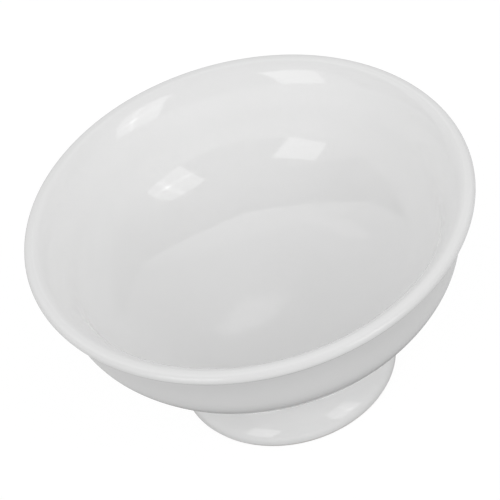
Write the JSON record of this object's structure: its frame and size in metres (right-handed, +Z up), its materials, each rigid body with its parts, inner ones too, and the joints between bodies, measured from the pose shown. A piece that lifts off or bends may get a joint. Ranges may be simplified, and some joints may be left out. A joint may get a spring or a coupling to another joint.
{
  "type": "shaving bowl",
  "caption": "Footed white porcelain bowl with a thick rolled rim and a hollow trumpet foot, for working up shaving lather with a brush.",
  "frame": {"origin": "on the table, at the centre of the foot ring", "axes": "+Z up along the bowl's axis of revolution; +X and +Y are equivalent, because the bowl is round"},
  "size_m": [0.12, 0.12, 0.0615],
  "materials": {
    "porcelain_body": "unglazed, fine matt fired clay",
    "fired_slip": "unglazed, matt",
    "white_glaze": "high gloss white glaze"
  },
  "bodies": {
    "root": {"bowl_body": "porcelain_body", "pedestal_foot": "porcelain_body", "slip_joint": "fired_slip", "glaze_coat": "white_glaze", "cavity_glaze": "white_glaze"}
  },
  "joints": []
}
